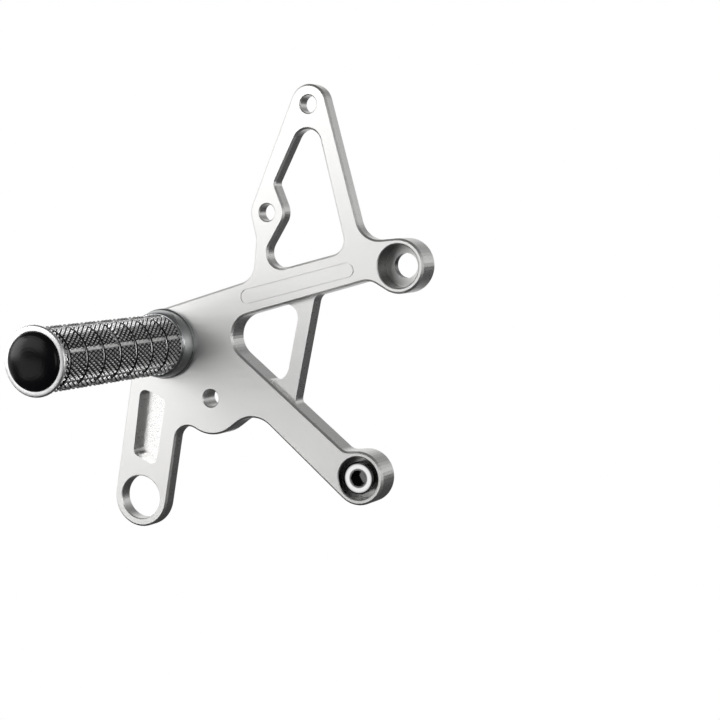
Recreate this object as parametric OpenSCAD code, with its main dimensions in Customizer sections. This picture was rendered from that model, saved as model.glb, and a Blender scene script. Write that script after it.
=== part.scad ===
// Rear-set footrest, left one: a machined plate bracket with two frame bosses,
// a fixed knurled foot peg with a domed end plug, its bolt, and one frame bolt.
// Millimetres. X runs to the right and Z up as seen on the outer face, Y runs
// from the peg's end towards the frame. The origin is on the axis of the upper
// frame bore, on the back face of its boss.

/* [Plate] */
// Thickness of the arms and of the body around the peg
arm_t = 10; // [8:0.5:11.5]
// Thickness of the upper frame and of the lower tab
frame_t = 6; // [4:0.5:8]
// Chamfer on every front edge of the outline and the windows
edge_c = 0.8; // [0.4:0.1:1.5]
// How far the strut's front face lies behind the plate's
strut_recess = 2.5; // [1:0.5:5]

/* [Frame bosses] */
// Depth of both bosses, from the front face to their back seating face
boss_depth = 12; // [10.5:0.5:18]
// Diameter of the counterbore in each boss
boss_cbore_d = 17.4; // [16.4:0.2:20]
// Wall of each boss round its counterbore
boss_wall = 2.2; // [2:0.1:4]
// Depth of the counterbore in each boss
boss_cbore_h = 8.5; // [6:0.5:9.5]
// Clearance on diameter round the frame bolt in its bore
frame_bore_gap = 2; // [0.4:0.1:3]
// Lower boss, sideways from the upper one
lower_boss_x = -17.2; // [-22:0.1:-12]
// Lower boss, in height from the upper one
lower_boss_z = -85; // [-90:0.5:-80]

/* [Holes] */
// Diameter of the hole at the top of the upper frame
apex_hole_d = 7.1; // [5:0.1:9]
// Diameter of the hole in the ear at the upper frame's side
ear_hole_d = 7; // [5:0.1:9]
// Diameter of the hole below the peg
body_hole_d = 7.2; // [5:0.1:9]
// Diameter of the pivot bore in the lower tab
tab_bore_d = 18.2; // [14:0.2:22]
// Wall of the tab round that bore
tab_wall = 3.4; // [2:0.2:5]
// Chamfer on the mouths of the holes and counterbores
hole_c = 0.4; // [0.1:0.1:0.8]
// Floor left under the blind pocket in the tab
pocket_floor = 1.4; // [0.8:0.2:3]

/* [Peg] */
// Length of the peg, from the plate to the ring face round the plug
peg_length = 96; // [70:1:120]
// Diameter over the knurl's crests
peg_d = 25; // [23:0.5:30]
// Depth of the knurl, from crest to valley
knurl_depth = 0.45; // [0.2:0.05:0.8]
// How far the flared outer end stands out beyond the crests
flare_rise = 1.4; // [1:0.1:3]
// How far the flange against the plate stands out beyond the crests
flange_rise = 2.1; // [1:0.1:4]
// Length of the flange
flange_length = 8.6; // [4:0.2:14]
// Number of ring grooves
groove_count = 7; // [3:1:8]
// First ring groove, from the plate
groove_first = 19.2; // [16:0.1:24]
// Last ring groove, from the peg's outer end
groove_last = 5.7; // [5:0.1:12]
// Depth of the ring grooves below the crests
groove_depth = 0.8; // [0.6:0.1:1.4]
// Turn of the first lengthwise flat from the X axis, in degrees
flat_turn = 12; // [0:1:60]
// Wall of the peg, from the knurl's crests to its bore
peg_wall = 4; // [3:0.1:5]
// Clearance on diameter round the bolt's head in the peg's bore
head_gap = 1; // [0.6:0.1:1.6]
// Peg material left between that bore's floor and the plate
peg_floor = 20; // [10:1:40]
// Width of the ring face round the plug
ring_w = 1.75; // [1:0.05:2]

/* [End plug] */
// Height of its dome
plug_dome = 3.4; // [1:0.2:6]
// Depth of its rim, let into the peg's end
plug_rim = 1.6; // [1:0.2:4]
// Length of the spigot inside the peg
plug_spigot = 8; // [4:1:14]
// Clearance on diameter between the plug and the peg
plug_gap = 0.1; // [0.05:0.05:0.3]

/* [Bolts] */
// Thread diameter of the peg bolt
peg_bolt_d = 10; // [8:1:10]
// Clearance on diameter round the peg bolt inside the peg
peg_bolt_gap = 0.5; // [0.2:0.1:1]
// Thickness of the washer under the peg bolt's head
washer_t = 1.6; // [1:0.1:3]
// Clearance on diameter between that washer and the peg's bore
washer_gap = 0.4; // [0.2:0.1:0.8]
// Thread diameter of the frame bolt
frame_bolt_d = 8; // [6:1:10]
// Length of the frame bolt below its head
frame_bolt_length = 12; // [8:1:20]

/* [Hidden] */
alu = [0.86, 0.86, 0.85];
dark_alu = [0.62, 0.62, 0.60];
black = [0.05, 0.05, 0.06];
zinc = [0.75, 0.76, 0.78];
steel = [0.66, 0.66, 0.68];
arc_step = 7.5;
front = -boss_depth;

// Centres of the features on the plate, [x, z]
upper = [0, 0];
lower = [lower_boss_x, lower_boss_z];
apex = [-38.9, 63.8];
ear = [-57.5, 20.8];
peg = [-105.2, -33.7];
body_hole = [-83.9, -55.7];
tab_bore = [-117.8, -99];

// Radii that follow from the sizes above
boss_r = boss_cbore_d / 2 + boss_wall;
tab_r = tab_bore_d / 2 + tab_wall;
peg_r = peg_d / 2;
flare_r = peg_r + flare_rise;
flange_r = peg_r + flange_rise;
ring_r = flare_r - 0.85;
plug_r = ring_r - ring_w;
peg_bore_r = peg_r - peg_wall;
peg_clear_r = (peg_bolt_d + peg_bolt_gap) / 2;
washer_r = peg_bore_r - washer_gap / 2;
frame_bore_d = frame_bolt_d + frame_bore_gap;

// Belts: each row is [x, z, r]. The outline runs counter-clockwise round the
// circles, turning left round those with r > 0 and right round the others.
bay_corner = [-64.2, -29.8, -9.5];
arm_corner = fillet_beside(upper, 226, 0.6, -7.6);
foot_corner = fillet_beside(lower, 106, 0.3, -5);
outline = [
    [upper[0], upper[1], boss_r],
    fillet_beside(upper, 113, 1, -9.5),
    [apex[0], apex[1], 8],
    [ear[0], ear[1], 7.6],
    [-68.8, 9.7, -6],
    [-72.2, 0.2, -8.5],
    [peg[0], peg[1], flange_r - 0.4],
    [tab_bore[0], tab_bore[1], tab_r],
    [-94.7, -74, -6.1],
    [body_hole[0], body_hole[1], 15.1],
    [-64.5, -74.5, -11.6],
    [lower[0], lower[1], boss_r],
    foot_corner,
    bay_corner,
    arm_corner
];
upper_window = [
    [-39.4, 48.1, 5.9],
    [-50.9, 32.3, 2.8],
    [ear[0], ear[1], -7.7],
    [-51.1, 4.6, 6.2],
    [-29.8, 10, 6.1]
];
pocket = [
    [-115.1, -56.3, 2.8],
    [-118.2, tab_bore[1] + 20, 2.8],
    [-112.5, tab_bore[1] + 17.4, 2.8],
    [-108.4, -58.8, 2.8]
];
label_rim = [
    [-66.6, -13.4, 3.1],
    [-22, -2, 3.1]
];

// The two arms' inner edges, as [point, direction], and the strut between them
arm_edge = edge(bay_corner, arm_corner);
foot_edge = edge(foot_corner, bay_corner);
strut_turn = 11.7;
strut_up = [sin(strut_turn), cos(strut_turn)];
strut_left = [-47.6, -35];
strut_right = [-42, -35];
strut_sink = 0.25;
arm_line = edge_in(arm_edge, strut_sink);
foot_line = edge_in(foot_edge, strut_sink);
strut_belt = [
    corner(foot_line[0], foot_line[1], strut_right, strut_up, -4),
    corner(strut_right, strut_up, arm_line[0], arm_line[1], -4.5),
    [-27, -6.5, 0.5],
    [-58, -16, 0.5],
    corner(arm_line[0], arm_line[1], strut_left, -strut_up, -5.5),
    corner(strut_left, -strut_up, foot_line[0], foot_line[1], -6.5),
    [-66, -42, 0.5],
    [-40, -64, 0.5]
];

groove_pitch = (peg_length - groove_last - groove_first) / (groove_count - 1);
groove_r = peg_r - groove_depth;
knurl_columns = 72;
knurl_rows = 8;
groove_half = 0.55;
groove_wall = 0.3;
flat_r = peg_r - 0.55;

// ---- Plane geometry ----

// Tangent from circle a to circle b: [point on a, point on b, heading]
function tangent(a, b) =
    let (dx = b[0] - a[0], dz = b[1] - a[1])
    let (d = sqrt(dx * dx + dz * dz))
    let (s = max(-1, min(1, (a[2] - b[2]) / d)))
    let (h = atan2(dz, dx) + asin(s))
    [[a[0] + a[2] * sin(h), a[1] - a[2] * cos(h)],
     [b[0] + b[2] * sin(h), b[1] - b[2] * cos(h)], h];

// Point on that tangent and its direction
function edge(a, b) =
    let (t = tangent(a, b))
    [t[0], [cos(t[2]), sin(t[2])]];

// The same edge, moved into the material by s
function edge_in(e, s) =
    [[e[0][0] - s * e[1][1], e[0][1] + s * e[1][0]], e[1]];

// Circle of radius |r| that rounds the turn from line p, u to line q, v
function corner(p, u, q, v, r) =
    let (a = [p[0] - r * u[1], p[1] + r * u[0]])
    let (b = [q[0] - r * v[1], q[1] + r * v[0]])
    let (k = ((b[0] - a[0]) * v[1] - (b[1] - a[1]) * v[0]) / (u[0] * v[1] - u[1] * v[0]))
    [a[0] + k * u[0], a[1] + k * u[1], r];

// Concave fillet of radius |r|, a little clear of a boss, in direction turn
function fillet_beside(c, turn, clear, r) =
    let (d = boss_r + clear - r)
    [c[0] + d * cos(turn), c[1] + d * sin(turn), r];

// Diameter of a cap screw's head
function head_d(d) = 1.5 * d + 1;

// Turn from heading h0 to h1, left for r > 0 and right for r < 0
function sweep(h0, h1, r) =
    let (d = (h1 - h0) % 360)
    let (e = r > 0 ? (d < -1e-6 ? d + 360 : d) : (d > 1e-6 ? d - 360 : d))
    abs(e) > 350 ? 0 : e;

// Nearest step of 1/1024 mm, so that walls and chamfers share their corners
function snap(v) = round(v * 1024) / 1024;

// Points of a belt whose circles all grow by off
function belt(c, off = 0) =
    let (n = len(c))
    let (g = [for (a = c) [a[0], a[1], a[2] + off]])
    let (t = [for (i = [0 : n - 1]) tangent(g[i], g[(i + 1) % n])])
    [for (i = [0 : n - 1])
        let (h0 = t[(i + n - 1) % n][2])
        let (e = sweep(h0, t[i][2], c[i][2]))
        let (m = max(1, ceil(abs(e) / arc_step - 1e-4)))
        for (k = [0 : m])
            let (h = h0 + e * k / m)
            [snap(g[i][0] + g[i][2] * sin(h)), snap(g[i][1] - g[i][2] * cos(h))]];

// ---- Solids ----

// Cutter that chamfers the front edge of belt b by c. The material lies inside
// the belt for side = 1 and outside it for side = -1.
module edge_cutter(b, c, side) {
    e = 0.3;
    rings = [
        [front - e, belt(b, -side * (c + e))],
        [front - e, belt(b, side * e)],
        [front + c, belt(b, side * e)],
        [front + c, belt(b)]
    ];
    n = len(rings[0][1]);
    polyhedron(
        points = [for (r = rings) for (p = r[1]) [p[0], r[0], p[1]]],
        faces = [for (k = [0 : 3]) for (i = [0 : n - 1])
            let (p = k * n + i)
            let (q = k * n + (i + 1) % n)
            let (u = (k + 1) % 4 * n + i)
            let (v = (k + 1) % 4 * n + (i + 1) % n)
            for (t = side > 0 ? [[p, q, v], [p, v, u]] : [[v, q, p], [u, v, p]]) t]
    );
}

// Flat shape in X and Z, from depth y0 to y1
module slab(y0, y1) {
    translate([0, y1, 0]) rotate([90, 0, 0]) linear_extrude(height = y1 - y0) children();
}

// Cylinder along Y at p, from y0 (radius r0) to y1 (radius r1)
module rod(p, y0, y1, r0, r1) {
    translate([p[0], y1, p[1]])
        rotate([90, 0, 0]) cylinder(h = y1 - y0, r1 = r1, r2 = r0, $fn = 96);
}

// Through hole with a chamfered front mouth
module drilled(p, d) {
    rod(p, front - 1, 1, d / 2, d / 2);
    rod(p, front - 1, front + hole_c, d / 2 + hole_c + 1, d / 2);
}

// ---- Bracket ----

module plate_blank() {
    difference() {
        slab(front, front + arm_t) polygon(belt(outline));
        slab(front - 1, 1) polygon(belt(upper_window));
        edge_cutter(outline, edge_c, 1);
        edge_cutter(upper_window, edge_c, -1);
    }
}

module strut() {
    slab(front + strut_recess, front + arm_t - 0.5) polygon(belt(strut_belt));
}

// Back of the upper frame and of the tab, milled down to frame_t
module thinning() {
    slab(front + frame_t, 1) {
        polygon([[-100, -13.8], [20, 17.9], [20, 90], [-100, 90]]);
        polygon([[-150, -24], [-94, -64.5], [-94, -130], [-150, -130]]);
    }
}

module boss(p) {
    rod(p, front + arm_t - 1, -0.5, boss_r - 0.03, boss_r - 0.03);
    rod(p, -0.5, 0, boss_r - 0.03, boss_r - 0.53);
}

module boss_bores(p) {
    rod(p, front - 1, 1, frame_bore_d / 2, frame_bore_d / 2);
    rod(p, front - 1, front + boss_cbore_h, boss_cbore_d / 2, boss_cbore_d / 2);
    rod(p, front - 1, front + hole_c, boss_cbore_d / 2 + hole_c + 1, boss_cbore_d / 2);
}

// Shallow engraved rim of the label field on the upper arm
module label_groove() {
    slab(front - 1, front + 0.3) difference() {
        polygon(belt(label_rim));
        polygon(belt(label_rim, -0.45));
    }
}

module bracket() {
    color(alu) difference() {
        union() {
            difference() {
                plate_blank();
                thinning();
            }
            strut();
            boss(upper);
            boss(lower);
        }
        boss_bores(upper);
        boss_bores(lower);
        drilled(apex, apex_hole_d);
        drilled(ear, ear_hole_d);
        drilled(body_hole, body_hole_d);
        drilled(tab_bore, tab_bore_d);
        rod(peg, front - 1, 1, peg_bolt_d / 2, peg_bolt_d / 2);
        slab(front - 1, front + frame_t - pocket_floor) polygon(belt(pocket));
        label_groove();
    }
}

// ---- Peg ----

// Rows of the knurled skin: [distance from the plate, radius, kind]
// kind 0 is plain, 1 and 2 are knurl rows that start high or low
function band(a, b, n) =
    [for (k = [0 : n]) [a + (b - a) * k / n, peg_r, 1 + k % 2]];

function groove_rows(c) = [
    [c - groove_half, groove_r, 0],
    [c + groove_half, groove_r, 0]
];

half = groove_half + groove_wall;
last_groove = groove_first + groove_pitch * (groove_count - 1);
flare_a = last_groove + half;
flare_b = peg_length - 2.2;

knurl_rows_all = concat(
    [[flange_length - 0.8, groove_r, 0]],
    band(flange_length + 0.2, groove_first - half, knurl_rows - 1),
    [for (g = [0 : groove_count - 1])
        let (c = groove_first + g * groove_pitch)
        for (row = concat(
            groove_rows(c),
            g < groove_count - 1 ? band(c + half, c + groove_pitch - half, knurl_rows) : []
        )) row],
    [for (k = [0 : 2])
        [flare_a + (flare_b - flare_a) * k / 2, peg_r + (flare_r - peg_r) * k * k / 4, 1 + k % 2]],
    [[peg_length - 1.2, groove_r, 0]]
);

function skin_r(row, j) =
    row[2] == 0 ? row[1] :
    j % 12 < 3 ? row[1] - (peg_r - flat_r) :
    row[1] - ((j + row[2]) % 2 == 0 ? 0 : knurl_depth);

// The knurled skin: every crest is a four-sided point, every twelfth of the
// columns and every ring groove is left plain
module knurled_skin() {
    rows = [for (i = [len(knurl_rows_all) - 1 : -1 : 0]) knurl_rows_all[i]];
    m = len(rows);
    n = knurl_columns;
    high = [for (r = rows) for (j = [0 : n - 1]) skin_r(r, j)];
    polyhedron(
        points = [for (i = [0 : m - 1]) for (j = [0 : n - 1])
            let (a = flat_turn - 360 / n + 360 * j / n)
            let (r = high[i * n + j])
            [peg[0] + r * cos(a), front - rows[i][0], peg[1] + r * sin(a)]],
        faces = concat(
            [[for (j = [n - 1 : -1 : 0]) j]],
            [[for (j = [0 : n - 1]) (m - 1) * n + j]],
            [for (i = [0 : m - 2]) for (j = [0 : n - 1])
                let (a = i * n + j)
                let (b = i * n + (j + 1) % n)
                let (c = b + n)
                let (d = a + n)
                for (t = high[a] + high[c] <= high[b] + high[d] ?
                    [[a, b, c], [a, c, d]] : [[a, b, d], [b, c, d]]) t]
        )
    );
}

// Half section of the flange, [radius, distance from the plate]
function flange_section() =
    let (r = flange_r, q = peg_r + 0.15)
    concat(
        [[0, 0], [r - 0.3, 0], [r, 0.3], [r, 1.6]],
        [for (k = [0 : 8])
            let (h = 90 * k / 8)
            [q + (r - 0.5 - q) * cos(h), 1.6 + (flange_length - 2.2) * sin(h)]],
        [[q - 0.1, flange_length], [0, flange_length]]
    );

// Half section of the ring round the plug
function ring_section() = [
    [0, peg_length - 2.6],
    [flare_r - 0.9, peg_length - 2.6],
    [flare_r, peg_length - 2.1],
    [flare_r, peg_length - 1.6],
    [ring_r, peg_length],
    [0, peg_length]
];

// Turns a half section round the peg's axis, distances running to the front
module turned(section) {
    translate([peg[0], front, peg[1]])
        rotate([90, 0, 0]) rotate_extrude($fn = 96) polygon(section);
}

module footpeg() {
    color(dark_alu) difference() {
        union() {
            knurled_skin();
            turned(flange_section());
            turned(ring_section());
        }
        rod(peg, front - peg_length - 1, front + 1, peg_clear_r, peg_clear_r);
        rod(peg, front - peg_length - 1, front - peg_floor, peg_bore_r, peg_bore_r);
        rod(peg, front - peg_length - 1, front - peg_length + plug_rim, plug_r, plug_r);
    }
}

module end_plug() {
    r = plug_r - plug_gap / 2;
    s = peg_bore_r - plug_gap / 2;
    w = 1.6;
    a = peg_length - plug_rim;
    color(black) turned(concat(
        [[0, a - 1], [s - w, a - 1], [s - w, a - plug_spigot]],
        [[s, a - plug_spigot], [s, a], [r, a]],
        [for (k = [0 : 12])
            let (h = 90 * k / 12)
            [k == 12 ? 0 : r * cos(h), peg_length + 0.2 + plug_dome * sin(h)]]
    ));
}

// ---- Bolts ----

// Hexagon-socket cap screw along Y at p, its head's seat at y, pointing to +Y
module cap_screw(p, y, d, head_r, length) {
    socket_r = (d - 2) / sqrt(3);
    difference() {
        union() {
            rod(p, y - d + 0.6, y, head_r, head_r);
            rod(p, y - d, y - d + 0.6, head_r - 0.6, head_r);
            rod(p, y - 0.5, y + length - 1, d / 2, d / 2);
            rod(p, y + length - 1, y + length, d / 2, d / 2 - 1);
        }
        translate([p[0], y - d * 0.45, p[1]])
            rotate([90, 0, 0]) cylinder(h = d, r = socket_r, $fn = 6);
        rod(p, y - d - 1, y - d + 0.4, socket_r + 0.75, socket_r - 0.65);
    }
}

module peg_bolt() {
    seat = front - peg_floor - washer_t;
    color(steel) cap_screw(peg, seat, peg_bolt_d, peg_bore_r - head_gap / 2, peg_floor + washer_t + arm_t - 0.5);
}

module peg_washer() {
    color(steel) difference() {
        rod(peg, front - peg_floor - washer_t, front - peg_floor, washer_r, washer_r);
        rod(peg, front - peg_floor - washer_t - 1, front, peg_clear_r, peg_clear_r);
    }
}

module frame_bolt() {
    color(zinc) cap_screw(lower, front + boss_cbore_h, frame_bolt_d, head_d(frame_bolt_d) / 2, frame_bolt_length);
}

bracket();
footpeg();
end_plug();
peg_bolt();
peg_washer();
frame_bolt();
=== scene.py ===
"""Left rear-set footrest: camera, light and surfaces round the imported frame."""

from math import cos, pi, radians, sin

import bpy
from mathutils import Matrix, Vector

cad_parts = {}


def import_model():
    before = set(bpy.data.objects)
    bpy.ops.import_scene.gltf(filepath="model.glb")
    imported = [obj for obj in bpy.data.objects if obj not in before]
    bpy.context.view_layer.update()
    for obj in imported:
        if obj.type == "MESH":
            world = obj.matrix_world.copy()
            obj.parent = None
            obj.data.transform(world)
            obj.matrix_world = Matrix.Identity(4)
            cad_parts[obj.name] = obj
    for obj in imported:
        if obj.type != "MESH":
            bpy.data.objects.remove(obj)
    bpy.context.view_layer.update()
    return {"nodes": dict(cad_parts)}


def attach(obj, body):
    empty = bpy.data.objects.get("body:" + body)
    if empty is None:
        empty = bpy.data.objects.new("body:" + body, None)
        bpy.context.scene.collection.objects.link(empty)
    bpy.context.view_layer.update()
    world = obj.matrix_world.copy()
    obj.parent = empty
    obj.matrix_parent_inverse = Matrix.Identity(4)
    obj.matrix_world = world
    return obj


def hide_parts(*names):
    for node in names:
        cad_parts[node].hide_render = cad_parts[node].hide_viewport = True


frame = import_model()
nodes = frame["nodes"]
scene = bpy.context.scene
MM = 0.001

# ---- Sizes in mm, as in the part ----
PEG = (-105.2, -33.7)      # x and z of the peg's axis, which runs along Y
FRONT = -12.0              # y of the plate's front face, where the peg starts
PEG_LENGTH = 96.0
PEG_R = 12.5
FLARE_R = 13.9             # the flared outer end
FLANGE_R = 14.6
FLANGE_LENGTH = 8.6
RING_R = 13.05             # the end face round the plug
PLUG_R = 11.3
PLUG_RIM = 1.6             # depth of the step that the plug rests on
BORE_R = 8.5
PEG_FLOOR = 20.0           # the bore's floor, from the plate
CLEAR_R = 5.25             # clearance hole of the peg bolt
GROOVES = 7
GROOVE_FIRST = 19.2        # middle of the first groove, from the plate
GROOVE_PITCH = 11.85
GROOVE_R = PEG_R - 0.8
POCKET_FLOOR = -7.4        # y of the blind slot's floor
UPPER = (0.0, 0.0)         # x and z of the frame bosses' axes
LOWER = (-17.2, -85.0)
BOSS_BORE_R = 8.8          # just takes in the counterbores' walls


# ---- Node helpers ----

def feed(tree, socket, value):
    """Link an output to this socket, or set the socket to a plain value."""
    if isinstance(value, bpy.types.NodeSocket):
        tree.links.new(value, socket)
    else:
        socket.default_value = value


def add(tree, kind, inputs=None, **settings):
    """New node, with its inputs by name or number."""
    node = tree.nodes.new(kind)
    for key, value in settings.items():
        setattr(node, key, value)
    for key, value in (inputs or {}).items():
        feed(tree, node.inputs[key], value)
    return node


def new_material(name):
    mat = bpy.data.materials.new(name)
    mat.use_nodes = True
    tree = mat.node_tree
    return mat, tree, tree.nodes["Principled BSDF"]


def texture_coords(tree, output):
    return add(tree, "ShaderNodeTexCoord").outputs[output]


def object_coords(tree, scale=(1, 1, 1), turn=(0, 0, 0)):
    return add(tree, "ShaderNodeMapping", {"Vector": texture_coords(tree, "Object"),
                                           "Scale": scale, "Rotation": turn}).outputs["Vector"]


def axis_of(tree, vector, axis):
    return add(tree, "ShaderNodeSeparateXYZ", {0: vector}).outputs[axis]


def noise(tree, vector, scale, detail, rough):
    return add(tree, "ShaderNodeTexNoise", {"Vector": vector, "Scale": scale, "Detail": detail,
                                            "Roughness": rough}).outputs["Fac"]


def remap(tree, value, from_low, from_high, to_low, to_high):
    """Linear between the two ranges, and level beyond their ends."""
    return add(tree, "ShaderNodeMapRange", {"Value": value,
                                            "From Min": from_low, "From Max": from_high,
                                            "To Min": to_low, "To Max": to_high}).outputs["Result"]


def spread(tree, value, low, high):
    """The middle part of a noise, where nearly all of it lies, over this range."""
    return remap(tree, value, 0.3, 0.7, low, high)


def math_node(tree, operation, a, b=0.0):
    return add(tree, "ShaderNodeMath", {0: a, 1: b}, operation=operation).outputs[0]


def vector_node(tree, operation, a, b, output):
    inputs = {0: a} if b is None else {0: a, 1: b}
    return add(tree, "ShaderNodeVectorMath", inputs, operation=operation).outputs[output]


def blend(tree, share, a, b):
    """a where share is 0, b where it is 1."""
    return add(tree, "ShaderNodeMix", {0: share, 2: a, 3: b}).outputs[0]


def mix_shaders(tree, share, a, b):
    return add(tree, "ShaderNodeMixShader", {0: share, 1: a, 2: b}).outputs[0]


def grey(tone):
    return (tone, tone, tone, 1)


def ramp(tree, value, stops):
    """Colour ramp of stops (position, colour)."""
    node = add(tree, "ShaderNodeValToRGB", {"Fac": value})
    elements = node.color_ramp.elements
    while len(elements) < len(stops):
        elements.new(0.5)
    for element, (at, colour) in zip(elements, stops):
        element.position = at
        element.color = colour
    return node.outputs["Color"]


def grey_ramp(tree, value, stops):
    return ramp(tree, value, [(at, grey(tone)) for at, tone in stops])


# ---- Parts of the plate that its material tells apart ----

def facing(tree):
    """1 on faces parallel to the plate, 0 on its walls."""
    along = axis_of(tree, texture_coords(tree, "Normal"), "Y")
    return remap(tree, math_node(tree, "ABSOLUTE", along), 0.55, 0.85, 0.0, 1.0)


def depth_mask(tree, low, high):
    """1 where the surface lies between these depths (mm, along Y)."""
    depth = axis_of(tree, texture_coords(tree, "Object"), "Y")
    return math_node(tree, "MULTIPLY", math_node(tree, "GREATER_THAN", depth, low * MM),
                     math_node(tree, "LESS_THAN", depth, high * MM))


def axis_distance(tree, centre):
    """Distance in metres from the axis along Y through this x and z (mm)."""
    away = vector_node(tree, "SUBTRACT", texture_coords(tree, "Object"),
                       (centre[0] * MM, 0, centre[1] * MM), 0)
    across = vector_node(tree, "MULTIPLY", away, (1, 0, 1), 0)
    return vector_node(tree, "LENGTH", across, None, "Value")


# ---- Materials ----

PLATE_TONES = [(0.40, (0.84, 0.838, 0.825, 1)), (0.60, (0.90, 0.90, 0.888, 1))]
BORE_PAINTED_SHADE = 0.30                     # painted shade: this share of the plate's colour, on the counterbores' walls
WALL_ROUGHNESS, FACE_ROUGHNESS = 0.30, 0.44
GRAIN_ROUGHNESS = 0.04                # either way
POCKET_ROUGHNESS = -0.20              # added on the blind slot's floor
MILLED_STRENGTH, MILLED_DEPTH = 0.5, 0.0003
# share of the knurl's height, and tone: painted shade, darkest at the bottom of the valleys
KNURL_PAINTED_SHADE_TONES = [(0.0, 0.012), (0.30, 0.05), (0.68, 0.74), (1.0, 0.93)]
# radius on the screw's head (share of SCREW_TONES_R), and tone: socket, face, rounded edge, side;
# the socket and the side are painted shade
SCREW_TONES = [(0.46, 0.10), (0.52, 0.62), (0.66, 0.60), (0.74, 0.16)]
SCREW_TONES_R = 8
SHANK_TONE_R = 4.5                    # a radius on the face, whose tone the shank takes


def satin_plate():
    """Satin machined aluminium: fine-brushed faces, smoother walls, counterbore walls darkened
    with painted shade, and a bright, rough-milled floor in the blind slot."""
    mat, tree, bsdf = new_material("satin_plate")
    face = facing(tree)
    brushed = noise(tree, object_coords(tree, (60, 400, 1400)), 1.0, 3.0, 0.6)
    cloudy = noise(tree, object_coords(tree), 26.0, 3.0, 0.55)
    milled = noise(tree, object_coords(tree), 420.0, 4.0, 0.7)
    tone = math_node(tree, "ADD", spread(tree, brushed, -0.02, 0.02),
                     spread(tree, cloudy, 0.46, 0.54))
    # painted shade: walls within the counterbores, round the frame bosses' axes, are darkened
    nearest = math_node(tree, "MINIMUM", axis_distance(tree, UPPER), axis_distance(tree, LOWER))
    bore = math_node(tree, "LESS_THAN", nearest, BOSS_BORE_R * MM)
    wall = math_node(tree, "SUBTRACT", 1.0, face)
    # on a colour Mix node, 6 and 7 are the colours and 2 is the result
    shaded = add(tree, "ShaderNodeMix", {0: math_node(tree, "MULTIPLY", bore, wall),
                                         6: ramp(tree, tone, PLATE_TONES), 7: grey(BORE_PAINTED_SHADE)},
                 data_type="RGBA", blend_type="MULTIPLY")
    feed(tree, bsdf.inputs["Base Color"], shaded.outputs[2])
    feed(tree, bsdf.inputs["Metallic"], 1.0)
    pocket = math_node(tree, "MULTIPLY", face,
                       depth_mask(tree, POCKET_FLOOR - 0.1, POCKET_FLOOR + 0.1))
    satin = math_node(tree, "ADD", remap(tree, face, 0.0, 1.0, WALL_ROUGHNESS, FACE_ROUGHNESS),
                      spread(tree, brushed, -GRAIN_ROUGHNESS, GRAIN_ROUGHNESS))
    smoother = math_node(tree, "MULTIPLY", pocket, POCKET_ROUGHNESS)
    feed(tree, bsdf.inputs["Roughness"], math_node(tree, "ADD", satin, smoother))
    bump = add(tree, "ShaderNodeBump", {"Height": math_node(tree, "MULTIPLY", milled, pocket),
                                        "Strength": MILLED_STRENGTH, "Distance": MILLED_DEPTH})
    feed(tree, bsdf.inputs["Normal"], bump.outputs["Normal"])
    return mat


def black_plug():
    """Glossy black moulded plug with faint handling marks."""
    mat, tree, bsdf = new_material("black_plug")
    marks = noise(tree, object_coords(tree, (40, 300, 40), (0, 0.7, 0)), 3.0, 3.0, 0.6)
    feed(tree, bsdf.inputs["Base Color"], (0.004, 0.004, 0.005, 1))
    feed(tree, bsdf.inputs["Roughness"], remap(tree, marks, 0.35, 0.75, 0.18, 0.28))
    feed(tree, bsdf.inputs["Specular IOR Level"], 0.16)
    return mat


def turned_metal(name, colour, low, high):
    """Metal with a fine turned grain, between these two roughnesses."""
    mat, tree, bsdf = new_material(name)
    grain = noise(tree, object_coords(tree, (700, 300, 700)), 1.0, 2.0, 0.5)
    feed(tree, bsdf.inputs["Base Color"], (*colour, 1))
    feed(tree, bsdf.inputs["Metallic"], 1.0)
    feed(tree, bsdf.inputs["Roughness"], spread(tree, grain, low, high))
    return mat


def recolour(mat, colour):
    tree = mat.node_tree
    feed(tree, tree.nodes["Principled BSDF"].inputs["Base Color"], colour)
    return mat


def knurled_metal():
    """Bright points and flats, with painted shade that darkens the valleys towards their bottom."""
    mat = turned_metal("knurled_alloy", (0.86, 0.86, 0.85), 0.20, 0.30)
    tree = mat.node_tree
    height = add(tree, "ShaderNodeAttribute", attribute_name="height").outputs["Fac"]
    return recolour(mat, grey_ramp(tree, height, KNURL_PAINTED_SHADE_TONES))


def plated_screw():
    """Bright plated screw, with the socket and the side of its head in shade."""
    mat = turned_metal("plated_bolt", (0.72, 0.73, 0.75), 0.08, 0.16)
    tree = mat.node_tree
    # the shank behind the plate (y above 0) has the tone of the face
    shank = math_node(tree, "MULTIPLY", depth_mask(tree, 0.0, 50.0), SHANK_TONE_R * MM)
    radius = math_node(tree, "MAXIMUM", axis_distance(tree, LOWER), shank)
    share = remap(tree, radius, 0.0, SCREW_TONES_R * MM, 0.0, 1.0)
    return recolour(mat, grey_ramp(tree, share, SCREW_TONES))


PLATE = satin_plate()
KNURL = knurled_metal()
# the same alloy as the knurl and ring, given a darker colour as painted shade on the polished
# flange
COLLAR = turned_metal("polished_alloy", (0.50, 0.51, 0.52), 0.13, 0.17)
RING = turned_metal("turned_alloy", (0.88, 0.88, 0.88), 0.32, 0.42)
PLUG = black_plug()
STEEL = turned_metal("bolt_steel", (0.50, 0.50, 0.51), 0.26, 0.38)
ZINC = plated_screw()

for node, mat in (("bracket", PLATE), ("footpeg", KNURL), ("end_plug", PLUG),
                  ("peg_bolt", STEEL), ("peg_washer", STEEL), ("frame_bolt", ZINC)):
    slots = nodes[node].data.materials
    slots.clear()
    slots.append(mat)


# ---- Mesh helpers ----

def place(obj):
    scene.collection.objects.link(obj)
    return obj


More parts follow.
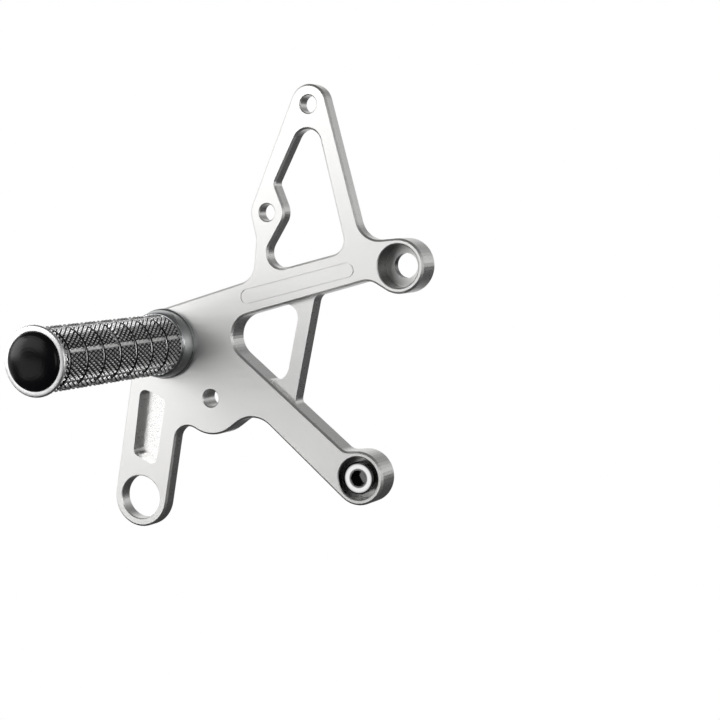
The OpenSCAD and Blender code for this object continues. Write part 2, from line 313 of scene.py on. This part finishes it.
def peg_piece(name, points, faces, mat, sharp):
    """A piece of the peg's outside, with edges of more than sharp degrees left sharp."""
    mesh = bpy.data.meshes.new(name)
    mesh.from_pydata(points, [], faces)
    mesh.validate()
    mesh.update()
    mesh.materials.append(mat)
    for polygon in mesh.polygons:
        polygon.use_smooth = True
    mesh.set_sharp_from_angle(angle=radians(sharp))
    obj = place(bpy.data.objects.new(name, mesh))
    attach(obj, "root")
    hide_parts("footpeg")
    return obj


def peg_point(radius, angle, distance):
    """Point at this radius and angle round the peg's axis, and distance from the plate."""
    return ((PEG[0] + radius * cos(angle)) * MM, (FRONT - distance) * MM,
            (PEG[1] + radius * sin(angle)) * MM)


# ---- Footpeg: the same form as the solid, with the knurl at its real pitch ----

COLUMNS = 252
DIAMOND = 6            # columns in one diamond round the peg, and rows in one along it
DIAMOND_LENGTH = 3.2   # of one diamond along the peg
KNURL_DEPTH = 0.75
RIM = 0.7              # plain rim at the peg's outer end
HALF_GROOVE = 0.85
# distance from the groove's middle, depth, and tone's share of the height: painted light
# and shade, lighter on the wall nearer the plate, darker on the bottom and the far wall
GROOVE_SECTION = ((-0.80, 0.15, 0.40), (-0.70, 0.80, 0.60), (-0.42, 1.15, 0.55),
                  (0, 1.25, 0.30), (0.42, 1.15, 0.20), (0.70, 0.80, 0.20), (0.80, 0.15, 0.20))
HIDDEN_ROW_PAINTED_SHADE = 0.2      # painted shade on the two end rows, under the flange and the ring
FLAT_DEPTH = 0.55
FLAT_APART = 60        # degrees from one lengthwise flat to the next
FLAT_TURN = 18.0       # degrees to the first
FLAT_HALF = 4.2        # degrees from the middle of a flat to the knurl, with the ramp between
FLAT_RAMP = 1.4
# the widened, deeper stretch of the middle groove: place along the peg, and turn in degrees
SLOT_AT = GROOVE_FIRST + 3 * GROOVE_PITCH
SLOT_HALF = 1.35
SLOT_FROM, SLOT_TO = 24, 62
SLOT_R = PEG_R - 1.9


def wave(x):
    """Triangle wave: 1 at whole numbers, 0 half way between."""
    return abs(2 * (x - int(x // 1)) - 1)


def knurl_height(u, v):
    """Share of the full height at u diamonds round and v along: points with small flat tops."""
    return min(1.0, 1.5 * wave(u + v), 1.5 * wave(u - v))


def flat_share(deg):
    """1 on one of the lengthwise flats, 0 on the knurl, with a short ramp."""
    off = abs((deg - FLAT_TURN + FLAT_APART / 2) % FLAT_APART - FLAT_APART / 2)
    return max(0.0, min(1.0, (FLAT_HALF - off) / FLAT_RAMP))


def peg_rows():
    """Rows (distance from the plate, radius, diamonds along or None for a plain turned row,
    tone's share of the height on a plain row)."""
    rows = [(FLANGE_LENGTH - 0.8, GROOVE_R, None, HIDDEN_ROW_PAINTED_SHADE)]
    grooves = [GROOVE_FIRST + GROOVE_PITCH * k for k in range(GROOVES)]

    def band(start, end, end_radius=PEG_R):
        n = round(DIAMOND * (end - start) / DIAMOND_LENGTH)
        for k in range(n + 1):
            t = k / n
            radius = PEG_R + (end_radius - PEG_R) * t * t
            rows.append((start + (end - start) * t, radius, k / DIAMOND, 0.0))

    band(FLANGE_LENGTH + 0.2, grooves[0] - HALF_GROOVE)
    for middle in grooves:
        for off, depth, share in GROOVE_SECTION:
            rows.append((middle + off, PEG_R - depth, None, share))
        if middle < grooves[-1]:
            band(middle + HALF_GROOVE, middle + GROOVE_PITCH - HALF_GROOVE)
    band(grooves[-1] + HALF_GROOVE, PEG_LENGTH - RIM, FLARE_R)
    rows.append((PEG_LENGTH - RIM + 0.1, GROOVE_R, None, HIDDEN_ROW_PAINTED_SHADE))
    return rows


def peg_skin():
    """Points, faces, and each point's share of the knurl's height, which its tone follows as
    painted shade in the valleys, grooves and slot.
    """
    rows = peg_rows()
    points, faces, radii, heights = [], [], [], []
    for distance, row_radius, v, plain_share in rows:
        in_slot = SLOT_AT - SLOT_HALF < distance < SLOT_AT + SLOT_HALF
        for j in range(COLUMNS):
            deg = 360 * j / COLUMNS
            # painted shade: the slot's recess takes the darkest tone
            if in_slot and SLOT_FROM < deg < SLOT_TO:
                radius, share = SLOT_R, 0.0
            elif v is None:
                radius, share = row_radius, plain_share
            else:
                height, flat = knurl_height(j / DIAMOND, v), flat_share(deg)
                knurled = row_radius - KNURL_DEPTH * (1 - height)
                radius = knurled * (1 - flat) + (row_radius - FLAT_DEPTH) * flat
                share = max(height, flat)
            radii.append(radius)
            heights.append(share)
            points.append(peg_point(radius, radians(deg), distance))
    for i in range(len(rows) - 1):
        for j in range(COLUMNS):
            a = i * COLUMNS + j
            b = i * COLUMNS + (j + 1) % COLUMNS
            c, d = b + COLUMNS, a + COLUMNS
            # the diagonal runs along the valley, so that every point keeps four flat sides
            if radii[a] + radii[c] <= radii[b] + radii[d]:
                faces += [(a, b, c), (a, c, d)]
            else:
                faces += [(a, b, d), (b, c, d)]
    return points, faces, heights


def revolve(section, steps=160):
    """Closed ring of a section [(radius, distance from the plate), ...] round the peg's axis."""
    points, faces = [], []
    m = len(section)
    for j in range(steps):
        points += [peg_point(radius, 2 * pi * j / steps, distance) for radius, distance in section]
    for j in range(steps):
        here, there = j * m, (j + 1) % steps * m
        for i in range(m):
            after = (i + 1) % m
            faces.append((here + i, here + after, there + after, there + i))
    return points, faces


def flange_section():
    """A short rim at the plate, a quarter of an oval down to the knurl, and a core inside it."""
    neck = PEG_R + 0.15
    rim = 1.6
    section = [(FLANGE_R - 0.3, 0), (FLANGE_R, 0.3), (FLANGE_R, rim)]
    for k in range(1, 17):
        angle = pi / 2 * k / 16
        section.append((neck + (FLANGE_R - 0.5 - neck) * cos(angle),
                        rim + (FLANGE_LENGTH - 0.6 - rim) * sin(angle)))
    core = GROOVE_R - 0.3
    return section + [(neck - 0.1, FLANGE_LENGTH), (core, FLANGE_LENGTH), (core, PEG_FLOOR + 3),
                      (CLEAR_R, PEG_FLOOR), (CLEAR_R, 0)]


def ring_section():
    """The peg's end: its rounded rim, the step under the plug, the bore and the core round it."""
    core = GROOVE_R - 0.3
    seat = PEG_LENGTH - PLUG_RIM
    return [(FLARE_R - 0.9, PEG_LENGTH - RIM - 0.5), (FLARE_R - 0.35, PEG_LENGTH - RIM),
            (RING_R + 0.12, PEG_LENGTH - 0.12), (RING_R - 0.1, PEG_LENGTH),
            (PLUG_R + 0.1, PEG_LENGTH), (PLUG_R, PEG_LENGTH - 0.1),
            (PLUG_R, seat), (BORE_R, seat), (BORE_R, PEG_FLOOR), (CLEAR_R, PEG_FLOOR),
            (CLEAR_R, PEG_FLOOR - 0.5), (core, PEG_FLOOR - 0.5), (core, PEG_LENGTH - 2.6)]


points, faces, heights = peg_skin()
skin = peg_piece("peg_knurl", points, faces, KNURL, 18.0)
skin.data.attributes.new("height", "FLOAT", "POINT").data.foreach_set("value", heights)
peg_piece("peg_flange", *revolve(flange_section()), COLLAR, 35.0)
peg_piece("peg_ring", *revolve(ring_section()), RING, 35.0)


# ---- Floor, light and camera ----

CENTRE = (-0.06, -0.02, -0.02)                 # the object's middle, in metres
FLOOR_R, FLOOR_Z, FLOOR_SIDES = 0.7, -0.30, 64
FLOOR_SEEN_IN_METAL = 0.05
SHADOW_FROM, SHADOW_TO = 0.30, 0.42            # metres from the origin where shadows fade out
SHADOW_WHITE = 0.75                            # share of plain white nearer than that
STUDIO_LOW, STUDIO_HIGH = 0.06, 0.12           # below the horizon and above it
# name, azimuth and elevation in degrees, distance, width and height in metres, power in watts
SOFTBOXES = [
    ("left", -60, 12, 1.0, 0.5, 0.5, 4.4),
    ("front_left", -28, 22, 1.0, 0.6, 0.5, 2.1),
    ("front_left_low", -32, -14, 1.0, 0.6, 0.4, 1.0),
    ("front_right", 50, 4, 1.0, 0.25, 0.5, 1.1),
    ("right", 108, 12, 0.9, 0.6, 0.45, 2.2),
]
# what metal sees of the pale backdrop behind the object: sine of the elevation, and strength
BACKDROP = [(-0.30, 0.06), (-0.06, 0.09), (0.08, 0.66), (0.26, 0.46), (0.46, 0.16), (1.0, 0.18)]
# the same backdrop to the sides: direction, cosines where it starts and where it is full, strength
BACKDROP_SIDES = [((-0.80, 0.60, 0), 0.45, 0.80, 0.80), ((0.94, -0.34, 0), 0.65, 0.92, 0.20)]
LENS, SENSOR_WIDTH = 94.85, 36
CAMERA_AT = (0.29434, -0.69478, 0.02661)
CAMERA_YAW, CAMERA_PITCH = 24.459, 4.881       # degrees to the left, and downwards


def floor():
    """Pale floor: nearly white to the camera, with the object's soft shadow, white further out,
    and dim in metal."""
    mesh = bpy.data.meshes.new("floor")
    turns = [2 * pi * k / FLOOR_SIDES for k in range(FLOOR_SIDES)]
    rim = [(CENTRE[0] + FLOOR_R * cos(turn), CENTRE[1] + FLOOR_R * sin(turn), FLOOR_Z)
           for turn in turns]
    mesh.from_pydata(rim, [], [tuple(range(FLOOR_SIDES))])
    mat, tree, bsdf = new_material("floor")
    mesh.materials.append(mat)
    feed(tree, bsdf.inputs["Base Color"], grey(0.85))
    feed(tree, bsdf.inputs["Roughness"], 0.9)
    light = add(tree, "ShaderNodeLightPath").outputs
    position = add(tree, "ShaderNodeNewGeometry").outputs["Position"]
    distance = vector_node(tree, "LENGTH", position, None, "Value")
    fade = remap(tree, distance, SHADOW_FROM, SHADOW_TO, SHADOW_WHITE, 1.0)
    seen = math_node(tree, "MULTIPLY", fade, light["Is Camera Ray"])
    white = add(tree, "ShaderNodeEmission").outputs[0]
    dim = add(tree, "ShaderNodeEmission", {"Strength": FLOOR_SEEN_IN_METAL}).outputs[0]
    surface = mix_shaders(tree, seen, bsdf.outputs[0], white)
    surface = mix_shaders(tree, light["Is Glossy Ray"], surface, dim)
    feed(tree, tree.nodes["Material Output"].inputs["Surface"], surface)
    place(bpy.data.objects.new("floor", mesh))


def world():
    """White to the camera. Metal sees that backdrop behind the object, dimmed as in the photograph.
    Everything else sees a dim studio: grey above the horizon, darker below."""
    studio = bpy.data.worlds.new("studio")
    scene.world = studio
    studio.use_nodes = True
    tree = studio.node_tree
    tree.nodes.clear()
    light = add(tree, "ShaderNodeLightPath").outputs
    coords = texture_coords(tree, "Generated")
    up = axis_of(tree, coords, "Z")
    level = remap(tree, up, -0.25, 0.15, STUDIO_LOW, STUDIO_HIGH)
    strengths = grey_ramp(tree, remap(tree, up, -1.0, 1.0, 0.0, 1.0),
                          [((z + 1) / 2, strength) for z, strength in BACKDROP])
    behind = remap(tree, axis_of(tree, coords, "Y"), 0.2, 0.7, 0.0, 1.0)
    backdrop = blend(tree, behind, level, strengths)
    for direction, start, full, strength in BACKDROP_SIDES:
        cosine = vector_node(tree, "DOT_PRODUCT", coords, direction, "Value")
        backdrop = blend(tree, remap(tree, cosine, start, full, 0.0, 1.0), backdrop, strength)
    strength = blend(tree, light["Is Glossy Ray"], level, backdrop)
    lit = add(tree, "ShaderNodeBackground", {"Color": grey(1), "Strength": strength}).outputs[0]
    white = add(tree, "ShaderNodeBackground", {"Color": grey(1)}).outputs[0]
    add(tree, "ShaderNodeOutputWorld",
        {"Surface": mix_shaders(tree, light["Is Camera Ray"], lit, white)})


def softbox(name, azimuth, elevation, distance, width, height, power):
    """Area lamp aimed at the middle. Azimuth 0 is in front of the plate, 90 to its right."""
    data = bpy.data.lights.new(name, "AREA")
    data.shape = "RECTANGLE"
    data.size, data.size_y = width, height
    data.energy = power
    obj = place(bpy.data.objects.new(name, data))
    a, e = radians(azimuth), radians(elevation)
    away = Vector((sin(a) * cos(e), -cos(a) * cos(e), sin(e)))
    obj.location = Vector(CENTRE) + away * distance
    obj.rotation_euler = (-away).to_track_quat("-Z", "Y").to_euler()
    obj.visible_camera = False


def camera():
    """Camera fitted to the photograph."""
    data = bpy.data.cameras.new("camera")
    data.lens = LENS
    data.sensor_width = SENSOR_WIDTH
    data.clip_start = 0.01
    obj = place(bpy.data.objects.new("camera", data))
    obj.location = CAMERA_AT
    obj.rotation_euler = (pi / 2 - radians(CAMERA_PITCH), 0, radians(CAMERA_YAW))
    scene.camera = obj


floor()
world()
for lamp in SOFTBOXES:
    softbox(*lamp)
camera()

scene.view_settings.view_transform = "Standard"
